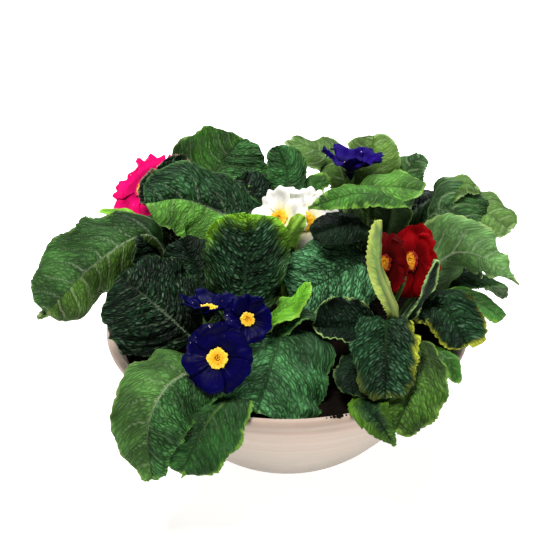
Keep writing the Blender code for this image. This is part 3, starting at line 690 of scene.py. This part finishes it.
def eye(name, bloom, finish, seed):
    """The toothed yellow ring round the mouth of the tube, with the anthers inside it."""
    rng = np.random.default_rng(seed)
    head, facing, side, other = bloom_frame(bloom)
    turns = circle(EYE_SIDES)
    reach = bloom.radius * EYE_SHARE
    rise = math.radians(bloom.cup)
    star = 1 + 0.035 * np.cos(PETALS * turns) + 0.03 * np.cos(2 * PETALS * turns + 0.6)
    around = np.cos(turns) * reach, np.sin(turns) * reach
    star = star + 0.05 * ripple(*around, rng, 5) + 0.035 * ripple(*around, rng, 1.8)
    # The rings from the edge to the middle: each one's share of the reach, and its height
    shares = (1.0, 0.97, 0.85, 0.7, 0.55, 0.42, 0.33, 0.27, 0.23, 0.18, 0.1, 0.03)
    heights = (1.3, 1.9, 2.3, 2.6, 2.9, 3.3, 3.4, 3.0, 2.3, 1.5, 1.2, 1.1)
    rings = []
    for share, height in zip(shares, heights):
        edge = star if share > 0.8 else 1 + (star - 1) * (share / 0.8) ** 2
        bumps = 0.22 * ripple(around[0] * share, around[1] * share, rng, 2.6)
        radius = reach * share * edge
        height = height + math.sin(rise) * radius
        radius = math.cos(rise) * radius
        flat = radius[:, None] * (np.cos(turns)[:, None] * side + np.sin(turns)[:, None] * other)
        rings.append(head + flat + (height + bumps)[:, None] * facing)
    rings = np.array([head + (rings[0] - head) * 0.35, *rings])
    body = Body()
    # How far the ring turns to orange, and how far its edge runs into the petals' colour
    orange = 1.0 if bloom.plant == "red" else 0.0
    blur = 1.0 if bloom.plant in ("red", "pink") else 0.0
    tints = dict(orange=orange, blur=blur, petal=DRESSES[bloom.plant].colour)
    body.add(*loft(rings), ring=np.repeat((1.0, *shares), EYE_SIDES), **tints)
    for k in range(PETALS):
        turn = 2 * math.pi * (k + 0.5) / PETALS
        lean = math.cos(turn) * side + math.sin(turn) * other
        path = [head + lean * reach * 0.1 + facing * 1.0, head + lean * reach * 0.13 + facing * 2.0,
                head + lean * reach * 0.15 + facing * 2.9, head + lean * reach * 0.12 + facing * 3.4]
        body.add(*tube(path, (0.35, 0.5, 0.5, 0.2), 8), ring=0.0, **tints)
    piece = body.build(f"eye_ring_{name}", finish)
    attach(piece, "root")
    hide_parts(f"eye_{name}")


# The planter and its compost


def wall_profile(steps):
    """The bowl's outer wall from the foot up to the step under the collar."""
    top = RIM_HEIGHT - COLLAR_HEIGHT - COLLAR_STEP
    reach = RIM_RADIUS - COLLAR_TAPER - COLLAR_STEP - FOOT_RADIUS
    share = np.linspace(0, 1, steps)
    return FOOT_RADIUS + reach * share, top * share**WALL_CURVE


def planter():
    """The bowl, turned about Z from a profile with faint throwing rings."""
    outer_r, outer_z = wall_profile(60)
    rings = 0.16 * np.sin(outer_z * 1.45) * smoothstep(6, 20, outer_z)
    rings = rings + 0.1 * np.sin(outer_z * 0.62 + 1.2)
    outer_r = outer_r + rings
    arc = np.linspace(-0.15 * math.pi, 1.05 * math.pi, 16)
    lip = RIM_THICKNESS / 2
    step_r, step_z = outer_r[-1], RIM_HEIGHT - COLLAR_HEIGHT
    collar_z = np.linspace(step_z + 1.2, RIM_HEIGHT - 4.2, 10)
    share = (collar_z - step_z) / COLLAR_HEIGHT
    collar_r = RIM_RADIUS - COLLAR_TAPER * (1 - share) ** 1.3
    inner_r, inner_z = wall_profile(40)
    inner_r, inner_z = inner_r[::-1] - RIM_THICKNESS, inner_z[::-1] + 1.0
    inside = inner_z > FLOOR_THICKNESS + 3
    radii = [0.5, FOOT_RADIUS - 3, FOOT_RADIUS - 1.2, *outer_r[1:], step_r + 0.5, step_r + 0.8]
    heights = [0, 0, 0.1, *outer_z[1:], step_z - 0.2, step_z + 0.6]
    radii += [*collar_r, *(RIM_RADIUS - lip + lip * np.cos(arc)), *inner_r[inside], FOOT_RADIUS - 2, 0.5]
    heights += [*collar_z, *(RIM_HEIGHT - lip + lip * np.sin(arc)), *inner_z[inside]]
    heights += [FLOOR_THICKNESS, FLOOR_THICKNESS]

    # Turned by hand: the upper wall is a little out of round
    turns = circle(BOWL_SIDES)
    radii, heights = np.array(radii)[:, None], np.array(heights)[:, None] + 0 * turns
    high = smoothstep(30, RIM_HEIGHT, heights)
    radii = radii + 0.35 * high * np.sin(2 * turns + 0.7) + 0.2 * high * np.sin(3 * turns + 2.0)
    heights = heights - 0.25 * high * (1 + np.sin(2 * turns + 1.9))
    body = Body()
    body.add(*loft(np.stack([radii * np.cos(turns), radii * np.sin(turns), heights], axis=-1)))
    piece = body.build("planter", bowl_finish(), sharp=40)
    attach(piece, "root")
    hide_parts("bowl")


def compost():
    """Crumbly compost: a lumpy top on a body that fills the bowl, with loose crumbs on it."""
    rng = np.random.default_rng(77)
    body = Body()
    wall_r, wall_z = wall_profile(12)
    inner_r, inner_z = wall_r - RIM_THICKNESS - 0.6, wall_z + 1.3
    keep = (inner_z > FLOOR_THICKNESS + 3) & (inner_z < SOIL_HEIGHT - 6)
    collar_r = np.interp(SOIL_HEIGHT - 2, (wall_z[-1], RIM_HEIGHT), (wall_r[-1], RIM_RADIUS))
    edge = collar_r - RIM_THICKNESS - 0.5
    low_r = [0.5, FOOT_RADIUS - 3, *inner_r[keep], edge - 1.5]
    low_z = [FLOOR_THICKNESS + 0.4, FLOOR_THICKNESS + 0.4, *inner_z[keep], SOIL_HEIGHT - 6]
    top_r = np.linspace(edge, 0.5, SOIL_RINGS)
    top_z = SOIL_HEIGHT + SOIL_MOUND * (1 - (top_r / edge) ** 2) - 2 * smoothstep(edge - 8, edge, top_r)
    turns = circle(SOIL_SIDES)
    radii = np.concatenate([low_r, top_r])[:, None] + 0 * turns
    heights = np.concatenate([low_z, top_z])[:, None] + 0 * turns
    x, y = radii * np.cos(turns), radii * np.sin(turns)
    top = np.concatenate([np.zeros(len(low_r)), np.ones(len(top_r))])[:, None]
    large, small = cells(x / 5.5, y / 5.5, 5.0), cells(x / 2.4, y / 2.4, 9.0)
    lumps = 2.2 * (0.5 - large) + 1.0 * (0.5 - small) + 0.9 * ripple(x, y, rng, 30)
    heights = heights + top * lumps * smoothstep(0, 4, edge + 0.5 - radii)
    body.add(*loft(np.stack([x, y, heights], axis=-1)))
    for _ in range(CRUMBS):
        turn, far = rng.uniform(0, 2 * math.pi), math.sqrt(rng.uniform(0, 1)) * (edge - 3)
        size = 0.7 + 2.0 * rng.uniform(0, 1) ** 2
        place = np.array((far * math.cos(turn), far * math.sin(turn), 0.0))
        place[2] = SOIL_HEIGHT + SOIL_MOUND * (1 - (far / edge) ** 2) + size * 0.3
        body.add(*crumb(place, size, rng))
    for pixel, size in RIM_CRUMBS:
        x = (pixel - FRAME_PIXELS / 2) / RIM_PIXELS_PER_MM + VIEW_TARGET[0]
        place = np.array((x, -math.sqrt((RIM_RADIUS - 3.2) ** 2 - x * x), RIM_HEIGHT + 0.4 * size - 0.3))
        body.add(*crumb(place, size, rng))
    piece = body.build("compost", soil_finish(), sharp=60)
    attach(piece, "root")
    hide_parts("soil")


def crumb(place, size, rng):
    """A rough little lump."""
    rings = []
    turns = circle(8)
    squash = rng.uniform(0.6, 0.9)
    for tilt in np.linspace(-0.46 * math.pi, 0.46 * math.pi, 6):
        radius = size * math.cos(tilt) * rng.uniform(0.8, 1.15, 8)
        height = size * squash * math.sin(tilt) * rng.uniform(0.85, 1.1)
        rings.append(np.stack([radius * np.cos(turns), radius * np.sin(turns), height + 0 * turns], axis=1))
    return loft(np.array(rings) + place)


# Shading


class Nodes:
    """A material's node tree with short calls for the nodes used here."""

    def __init__(self, name, **settings):
        self.made = bpy.data.materials.new(name)
        self.made.use_nodes = True
        self.tree = self.made.node_tree
        self.shader = self.tree.nodes["Principled BSDF"]
        for socket, value in settings.items():
            self.shader.inputs[socket.replace("_", " ")].default_value = value

    def node(self, kind, sockets, **settings):
        """A new node with its settings, and a value or a link at each socket that has one."""
        made = self.tree.nodes.new(kind)
        for name, value in settings.items():
            setattr(made, name, value)
        for socket, value in sockets.items():
            self.feed(made.inputs[socket], value)
        return made

    def feed(self, socket, value):
        if isinstance(value, bpy.types.NodeSocket):
            self.tree.links.new(value, socket)
        elif value is not None:
            socket.default_value = value

    def attribute(self, name, output="Fac"):
        return self.node("ShaderNodeAttribute", {}, attribute_name=name).outputs[output]

    def position(self):
        return self.node("ShaderNodeNewGeometry", {}).outputs["Position"]

    def noise(self, scale, detail=4.0, roughness=0.55, vector=None):
        vector = self.position() if vector is None else vector
        sockets = {"Vector": vector, "Scale": scale, "Detail": detail, "Roughness": roughness}
        return self.node("ShaderNodeTexNoise", sockets).outputs["Fac"]

    def voronoi(self, scale, feature="F1", vector=None):
        vector = self.position() if vector is None else vector
        sockets = {"Vector": vector, "Scale": scale}
        return self.node("ShaderNodeTexVoronoi", sockets, feature=feature).outputs["Distance"]

    def stretched(self, vector, scale):
        return self.node("ShaderNodeMapping", {"Vector": vector, "Scale": scale}).outputs["Vector"]

    def warped(self, vector, scale, amount):
        """A vector pushed aside by a smooth noise."""
        noise = self.node("ShaderNodeTexNoise", {"Vector": vector, "Scale": scale, "Detail": 2.0})
        sockets = {0: noise.outputs["Color"], 1: (amount, amount, 0.0), 2: vector}
        return self.node("ShaderNodeVectorMath", sockets, operation="MULTIPLY_ADD").outputs[0]

    def ramp(self, value, low, high, low_to=0.0, high_to=1.0):
        sockets = {"Value": value, "From Min": low, "From Max": high, "To Min": low_to, "To Max": high_to}
        return self.node("ShaderNodeMapRange", sockets).outputs["Result"]

    def maths(self, operation, first, second):
        return self.node("ShaderNodeMath", {0: first, 1: second}, operation=operation).outputs[0]

    def mix(self, share, first, second, blend="MIX"):
        sockets = {0: share, 6: first, 7: second}
        return self.node("ShaderNodeMix", sockets, data_type="RGBA", blend_type=blend).outputs[2]

    def bump(self, height, distance, strength=1.0, normal=None):
        sockets = {"Height": height, "Distance": distance, "Strength": strength, "Normal": normal}
        return self.node("ShaderNodeBump", sockets).outputs["Normal"]

    def finish(self, colour, roughness=None, normal=None):
        self.feed(self.shader.inputs["Base Color"], colour)
        self.feed(self.shader.inputs["Roughness"], roughness)
        self.feed(self.shader.inputs["Normal"], normal)
        return self.made


def rgba(colour):
    return (*colour, 1.0)


def leaf_finish():
    n = Nodes("leaf", Specular_IOR_Level=0.1)
    blade = n.attribute("blade", "Color")
    vein_colour = n.attribute("vein_colour", "Color")
    margin_colour = n.attribute("margin_colour", "Color")
    under = n.attribute("under")
    shade = n.attribute("shade")
    relief = n.attribute("relief")
    skin = n.warped(n.attribute("skin", "Vector"), 0.17, 3.0)
    creases = n.ramp(n.noise(1.0, 3.0, 0.6, n.stretched(skin, (0.4, 0.12, 1.0))), 0.36, 0.64)
    net = n.ramp(n.voronoi(1.0, "DISTANCE_TO_EDGE", n.stretched(skin, (0.42, 0.24, 1.0))), 0.0, 0.3)
    wrinkle = n.maths("MULTIPLY", n.maths("ADD", creases, n.maths("MULTIPLY", net, 1.5)), 0.4)
    mottle = n.noise(130.0, 5.0, 0.6)
    tone = n.ramp(n.maths("ADD", shade, mottle), 0.6, 1.4, 0.6, 1.38)
    # Painted shade and highlight: the blade is darker in the wrinkles' valleys and lighter on their crests,
    # the more so the deeper the wrinkles
    wrinkle_shading = n.ramp(relief, 0.0, 1.3, 0.08, 0.9)
    body = n.mix(wrinkle_shading, blade, n.mix(1.0, blade, n.ramp(wrinkle, 0.2, 0.85, 0.1, 2.1), "MULTIPLY"))
    # Painted highlight: grey-green glints on the highest wrinkle crests of the deeply wrinkled leaves
    painted_glints = n.maths("MULTIPLY", n.ramp(wrinkle, 0.7, 0.95, 0.0, 0.78), n.ramp(relief, 0.7, 1.3))
    body = n.mix(painted_glints, body, rgba((0.075, 0.12, 0.075)))
    # Painted shade: the blade is darker in the creases along the side veins and a little lighter between
    # them
    body = n.mix(1.0, body, n.ramp(n.attribute("dome"), 0.0, 1.0, 0.8, 1.06), "MULTIPLY")
    body = n.mix(1.0, body, tone, "MULTIPLY")
    # Painted shade and highlight: the margin's colour is also darker in the wrinkles' valleys and lighter on
    # their crests
    edge = n.mix(1.0, margin_colour, n.ramp(wrinkle, 0.0, 1.0, 0.75, 1.15), "MULTIPLY")
    body = n.mix(n.attribute("margin"), body, edge)
    body = n.mix(n.ramp(n.attribute("vein"), 0.1, 0.95, 0.0, 0.85), body, vein_colour)
    pale = n.mix(0.5, body, rgba((0.14, 0.22, 0.1)), "LIGHTEN")
    body = n.mix(under, body, pale)
    rough = n.ramp(wrinkle, 0.0, 1.0, 0.62, 0.44)
    fold = n.maths("MULTIPLY", wrinkle, relief)
    normal = n.bump(fold, 0.0015, 1.0)
    normal = n.bump(n.noise(1600.0, 2.0), 0.0001, 0.35, normal)
    return n.finish(body, rough, normal)


def petal_finish(plant):
    dress = DRESSES[plant]
    n = Nodes(f"petal_{plant}", Specular_IOR_Level=0.04)
    reach = n.attribute("reach")
    body = n.mix(n.ramp(reach, 0.15, 0.6), rgba(dress.heart), rgba(dress.colour))
    body = n.mix(n.maths("MULTIPLY", n.attribute("streak"), 0.35), body, rgba(dress.streak))
    tone = n.ramp(n.maths("ADD", n.attribute("shade"), n.noise(160.0, 4.0)), 0.5, 1.5, 0.72, 1.25)
    # Painted shade: each bloom's colour is multiplied by its tone, which is below 1 for a bloom in shade
    body = n.mix(1.0, body, n.maths("MULTIPLY", tone, n.attribute("dim")), "MULTIPLY")
    if dress.specks:
        dots = n.ramp(n.voronoi(420.0), 0.09, 0.15, 0.8, 0.0)
        some = n.ramp(n.noise(95.0, 1.0), 0.6 - 0.12 * dress.specks, 0.66 - 0.12 * dress.specks)
        body = n.mix(n.maths("MULTIPLY", dots, some), body, rgba((0.75, 0.62, 0.72)))
    grain = n.noise(2400.0, 2.0)
    ripples = n.noise(420.0, 3.0)
    normal = n.bump(ripples, 0.0004, 0.5)
    normal = n.bump(grain, 0.00006, 0.5, normal)
    return n.finish(body, n.ramp(ripples, 0.3, 0.7, dress.rough - 0.08, dress.rough + 0.08), normal)


def eye_finish():
    n = Nodes("eye", Specular_IOR_Level=0.15)
    ring = n.attribute("ring")
    outer = n.mix(n.ramp(ring, 0.45, 0.95), rgba((0.74, 0.34, 0.007)), rgba((0.76, 0.53, 0.045)))
    outer = n.mix(n.attribute("orange"), outer, rgba((0.6, 0.21, 0.008)))
    blurred = n.ramp(n.maths("ADD", ring, n.noise(500.0, 2.0)), 1.12, 1.3)
    outer = n.mix(n.maths("MULTIPLY", blurred, n.attribute("blur")), outer, n.attribute("petal", "Color"))
    flecks = n.ramp(n.noise(1100.0, 2.0, 0.6), 0.6, 0.68, 0.0, 0.8)
    outer = n.mix(flecks, outer, rgba((0.45, 0.07, 0.004)))
    body = n.mix(n.ramp(ring, 0.2, 0.28), rgba((0.04, 0.006, 0.003)), outer)
    body = n.mix(n.ramp(ring, 0.015, 0.05, 1.0, 0.0), body, rgba((0.8, 0.5, 0.04)))
    tone = n.ramp(n.noise(900.0, 3.0), 0.3, 0.7, 0.75, 1.15)
    body = n.mix(1.0, body, tone, "MULTIPLY")
    normal = n.bump(n.noise(1500.0, 3.0), 0.0002, 0.6)
    return n.finish(body, 0.6, normal)


def bowl_finish():
    n = Nodes("bowl")
    place = n.position()
    height = n.node("ShaderNodeSeparateXYZ", {0: place}).outputs["Z"]
    rings = n.noise(1.0, 3.0, 0.5, n.stretched(place, (6.0, 6.0, 260.0)))
    cloud = n.noise(22.0, 5.0, 0.6)
    fine = n.noise(700.0, 3.0, 0.6)
    pale, pink = rgba((0.44, 0.385, 0.327)), rgba((0.37, 0.275, 0.218))
    tint = n.ramp(n.maths("ADD", height, n.ramp(cloud, 0.3, 0.7, -0.012, 0.012)), 0.03, 0.078)
    body = n.mix(tint, pale, pink)
    # Painted shade: the collar under the overhanging leaves is darkened towards a deeper pinkish brown
    collar = n.ramp(height, 0.072, 0.076)
    body = n.mix(n.maths("MULTIPLY", collar, 0.55), body, rgba((0.285, 0.2, 0.152)))
    body = n.mix(n.ramp(rings, 0.35, 0.65, 0.0, 0.35), body, rgba((0.47, 0.42, 0.37)))
    body = n.mix(n.ramp(fine, 0.58, 0.72, 0.0, 0.35), body, rgba((0.42, 0.34, 0.28)))
    body = n.mix(1.0, body, n.ramp(cloud, 0.3, 0.7, 0.92, 1.05), "MULTIPLY")
    normal = n.bump(rings, 0.0006, 0.35)
    normal = n.bump(fine, 0.00025, 0.5, normal)
    return n.finish(body, n.ramp(fine, 0.3, 0.7, 0.62, 0.8), normal)


def soil_finish():
    n = Nodes("compost", Specular_IOR_Level=0.04)
    coarse = n.noise(260.0, 6.0, 0.7)
    fibres = n.noise(1300.0, 3.0, 0.6)
    body = n.mix(n.ramp(coarse, 0.35, 0.7), rgba((0.002, 0.0014, 0.001)), rgba((0.008, 0.005, 0.0035)))
    body = n.mix(n.ramp(fibres, 0.64, 0.76, 0.0, 0.4), body, rgba((0.025, 0.016, 0.011)))
    normal = n.bump(coarse, 0.002, 0.8)
    normal = n.bump(fibres, 0.0006, 0.8, normal)
    return n.finish(body, 0.9, normal)


# Build

planter()
compost()
leaf_skin = leaf_finish()
for order, (plant, leaves) in enumerate(LEAVES.items()):
    rosette = Body()
    crown = np.array(CROWNS[plant], float)
    for number, leaf in enumerate(leaves):
        add_leaf(rosette, leaf, crown, 100 * order + number + 1)
    for number, bloom in enumerate(BLOOMS.values()):
        if bloom.plant == plant:
            add_stem(rosette, bloom, crown, number)
    heel = [(*crown, SOIL_HEIGHT + rise) for rise in (-4, 3, CROWN_RISE)]
    rosette.add(*tube(heel, (ROOT_RADIUS, ROOT_RADIUS - 1, 4), 24), **plain_leaf("stalk", 0.2))
    piece = rosette.build(f"rosette_{plant}", leaf_skin)
    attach(piece, "root")
    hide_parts(f"leaves_{plant}")
eye_skin = eye_finish()
petal_skins = {plant: petal_finish(plant) for plant in DRESSES}
for number, (name, bloom) in enumerate(BLOOMS.items()):
    petals(name, bloom, petal_skins[bloom.plant], 500 + number)
    eye(name, bloom, eye_skin, 700 + number)


# The camera, the floor and the light


def look_at(item, place, target):
    item.location = place
    item.rotation_mode = "QUATERNION"
    item.rotation_quaternion = (target - place).to_track_quat("-Z", "Y")


def add_camera():
    data = bpy.data.cameras.new("camera")
    data.sensor_width = SENSOR
    data.lens = FOCAL_PIXELS / FRAME_PIXELS * SENSOR
    data.clip_start = 0.05
    data.clip_end = 20.0
    item = add_object("camera", data)
    back = Vector((0, -math.cos(VIEW_ELEVATION), math.sin(VIEW_ELEVATION)))
    target = Vector(VIEW_TARGET) * MM
    look_at(item, target + back * VIEW_DISTANCE, target)
    bpy.context.scene.camera = item


def area_light(name, place, size, power, colour=(1, 1, 1)):
    data = bpy.data.lights.new(name, "AREA")
    data.shape = "DISK"
    data.size = size
    data.energy = power
    data.color = colour
    look_at(add_object(name, data), Vector(place), Vector((0, 0, 0.1)))


def add_studio():
    mesh = bpy.data.meshes.new("floor")
    mesh.from_pydata([(-6, -6, 0), (6, -6, 0), (6, 6, 0), (-6, 6, 0)], [], [(0, 1, 2, 3)])
    n = Nodes("floor", Roughness=0.9, Emission_Color=rgba((1, 1, 1)), Emission_Strength=0.75)
    mesh.materials.append(n.finish(rgba((0.82, 0.82, 0.82))))
    floor = add_object("floor", mesh)
    world = bpy.data.worlds.new("studio")
    world.use_nodes = True
    sky = world.node_tree.nodes["Background"]
    sky.inputs["Color"].default_value = (0.95, 0.97, 1.0, 1)
    sky.inputs["Strength"].default_value = 0.18
    bpy.context.scene.world = world
    area_light("key", (-0.35, -0.45, 1.9), 0.8, 58, (1.0, 0.98, 0.95))
    area_light("back", (0.5, 1.1, 1.5), 0.8, 28, (0.95, 0.98, 1.0))
    bpy.context.scene.view_settings.view_transform = "Standard"


add_camera()
add_studio()
